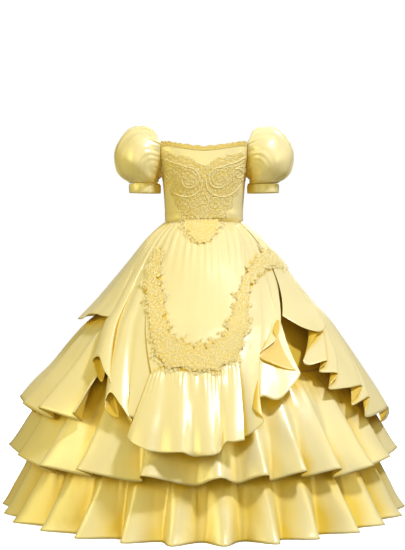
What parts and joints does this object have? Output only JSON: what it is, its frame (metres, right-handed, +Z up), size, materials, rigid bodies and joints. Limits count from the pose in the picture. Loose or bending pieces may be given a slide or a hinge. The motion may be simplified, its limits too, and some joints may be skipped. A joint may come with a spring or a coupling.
{
  "type": "flower girl dress",
  "caption": "Child's worn-form satin party dress: fitted lace-front bodice, short puff sleeves and a full tiered floor-length skirt with a lace-edged apron and cascading overskirt.",
  "frame": {"origin": "middle of the waist opening at the height of the waist seam, where the wearer's waist holds the dress", "axes": "+Z up along the wearer, -Y to the front of the dress, +X to the viewer's right in a front view"},
  "size_m": [0.983, 0.9857, 0.9345],
  "materials": {
    "satin": "glossy yellow duchess satin",
    "lace": "pale yellow corded lace"
  },
  "bodies": {
    "root": {"bodice_front": "satin", "bodice_back_left": "satin", "bodice_back_right": "satin", "bodice_lace": "lace", "neck_lace": "lace", "waist_lace": "lace", "sleeve_left": "satin", "sleeve_right": "satin", "cuff_left": "satin", "cuff_right": "satin", "base_skirt": "satin", "lower_tier": "satin", "middle_tier": "satin", "upper_tier": "satin", "overskirt_left": "satin", "overskirt_right": "satin", "overskirt_right_front": "satin", "apron": "satin", "front_ruffle": "satin", "apron_lace": "lace"}
  },
  "joints": []
}
